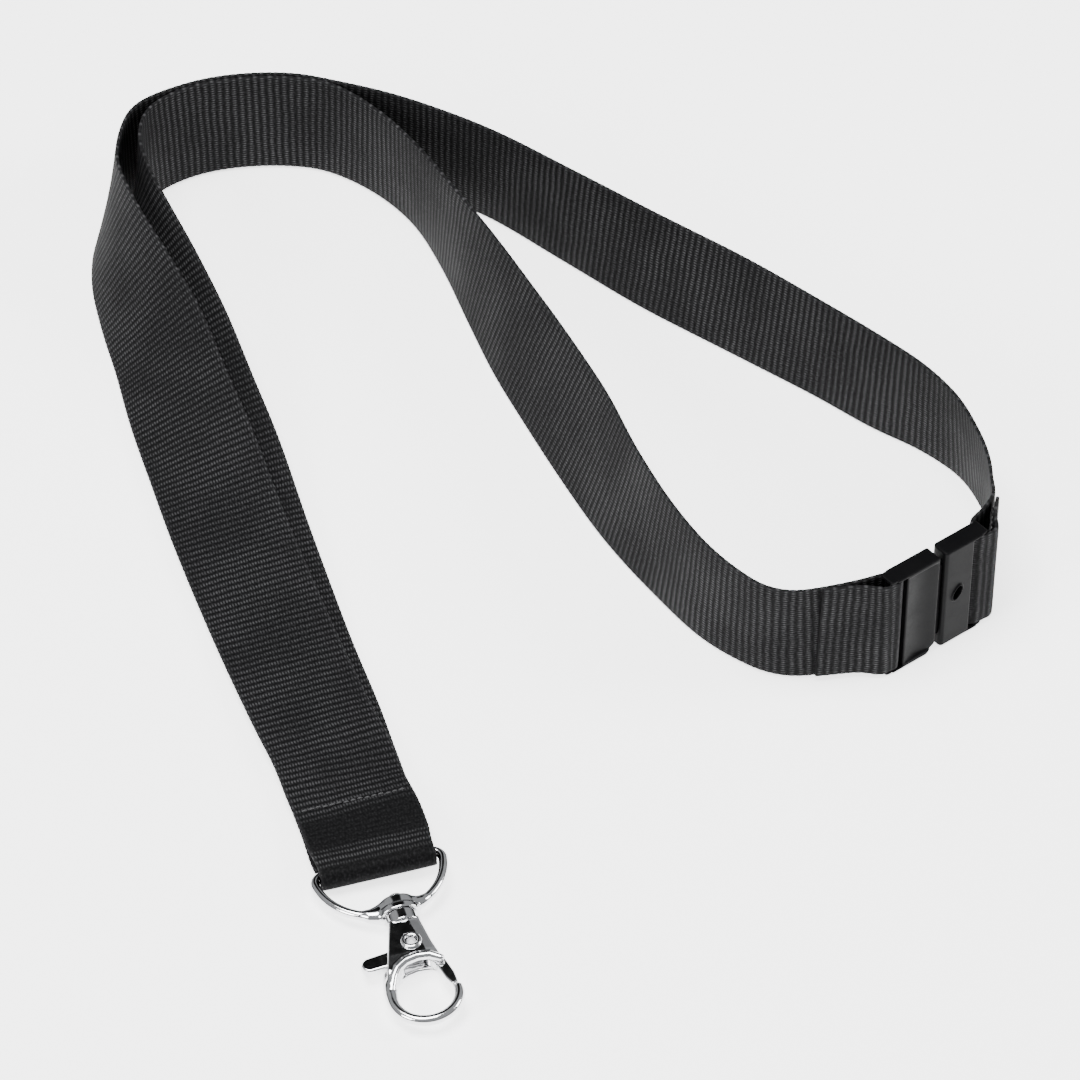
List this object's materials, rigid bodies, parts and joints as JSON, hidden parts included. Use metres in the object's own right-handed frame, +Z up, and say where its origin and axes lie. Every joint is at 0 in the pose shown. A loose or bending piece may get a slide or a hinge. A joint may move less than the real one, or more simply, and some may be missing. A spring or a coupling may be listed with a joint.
{
  "type": "lanyard",
  "caption": "Black ribbed webbing neck lanyard with a breakaway buckle, a D-ring and a chromed swivel lobster hook.",
  "frame": {"origin": "centre of the bounding box, on the table the lanyard lies on", "axes": "+Z up, +Y away from the hook towards the far turn of the webbing, +X towards the buckle"},
  "size_m": [0.1996, 0.2727, 0.0265],
  "materials": {
    "webbing": "ribbed matt polyester",
    "thread": "matt thread",
    "plastic": "satin black",
    "chrome": "polished",
    "spring_steel": "bright wire"
  },
  "bodies": {
    "strap": {"strap_outer_leg": "webbing", "strap_outer_turn": "webbing", "strap_outer_top": "webbing", "strap_outer_run": "webbing", "strap_inner_leg": "webbing", "strap_inner_turn": "webbing", "strap_inner_top": "webbing", "strap_inner_run": "webbing", "strap_ring_fold": "webbing", "strap_plug_end": "webbing", "ring_seam": "thread", "plug_seam": "thread", "buckle_plug": "plastic"},
    "buckle_socket": {"buckle_socket": "plastic", "strap_socket_end": "webbing", "socket_seam": "thread"},
    "d_ring": {"d_ring": "chrome"},
    "hook": {"swivel_stud": "chrome", "hook_body": "chrome", "rivet": "chrome"},
    "gate": {"gate_lever": "chrome", "gate_spring": "spring_steel"}
  },
  "joints": [
    {"name": "breakaway", "type": "slide", "parent": "strap", "child": "buckle_socket", "axis": [0.788, 0.6157, 0], "range_m": [0, 0.009]},
    {"name": "ring_swing", "type": "hinge", "parent": "strap", "child": "d_ring", "pos_m": [-0.0306, -0.0934, 0.0032], "axis": [0.9646, 0.2585, 0.0523], "range_deg": [-80, 80]},
    {"name": "hook_swivel", "type": "hinge", "parent": "d_ring", "child": "hook", "pos_m": [-0.02598, -0.10562, 0.00327], "axis": [0.2588, -0.9659, 0], "continuous": true},
    {"name": "gate_hinge", "type": "hinge", "parent": "hook", "child": "gate", "pos_m": [-0.02301, -0.11673, 0.00327], "axis": [0.0506, 0.0135, -0.9986], "range_deg": [0, 28], "stiffness_Nm_per_rad": 0.02, "springref_deg": -17.19}
  ]
}
